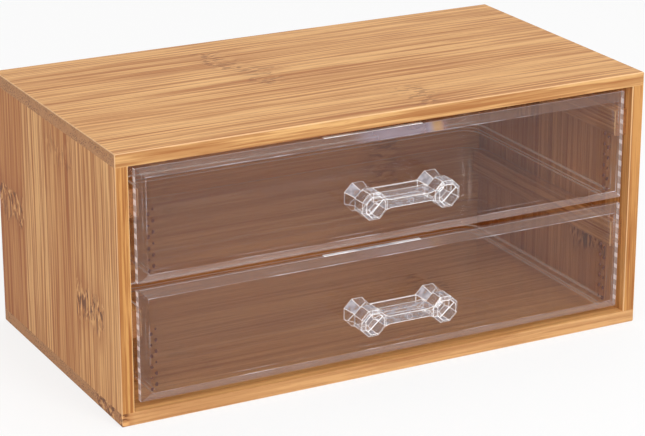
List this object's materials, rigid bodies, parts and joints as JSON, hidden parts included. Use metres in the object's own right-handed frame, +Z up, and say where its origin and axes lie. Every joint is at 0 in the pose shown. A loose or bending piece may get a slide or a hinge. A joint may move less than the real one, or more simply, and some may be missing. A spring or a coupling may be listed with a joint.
{
  "type": "desk drawer organizer",
  "caption": "Desktop organizer: an open-fronted bamboo case with clear plastic drawers that hang on wooden rails and have faceted pull handles.",
  "frame": {"origin": "centre of the case's underside, where it rests on the desk; the handles stand out in front of it", "axes": "+X to the right along the drawer fronts, +Y from the drawer fronts to the back, +Z up"},
  "size_m": [0.3, 0.1799, 0.14],
  "materials": {
    "bamboo": "satin lacquer",
    "bamboo_pin": "raw",
    "clear_plastic": "polished, see-through"
  },
  "bodies": {
    "case": {"top_panel": "bamboo", "bottom_panel": "bamboo", "left_side_panel": "bamboo", "right_side_panel": "bamboo", "back_panel": "bamboo", "upper_left_rail": "bamboo", "upper_right_rail": "bamboo", "lower_left_rail": "bamboo", "lower_right_rail": "bamboo", "top_dowels": "bamboo_pin", "bottom_dowels": "bamboo_pin"},
    "lower_drawer": {"lower_tray": "clear_plastic", "lower_drawer_front": "clear_plastic", "lower_handle": "clear_plastic"},
    "upper_drawer": {"upper_tray": "clear_plastic", "upper_drawer_front": "clear_plastic", "upper_handle": "clear_plastic"}
  },
  "joints": [
    {"name": "lower_drawer_slide", "type": "slide", "parent": "case", "child": "lower_drawer", "axis": [0, -1, 0], "range_m": [0, 0.11]},
    {"name": "upper_drawer_slide", "type": "slide", "parent": "case", "child": "upper_drawer", "axis": [0, -1, 0], "range_m": [0, 0.11]}
  ]
}
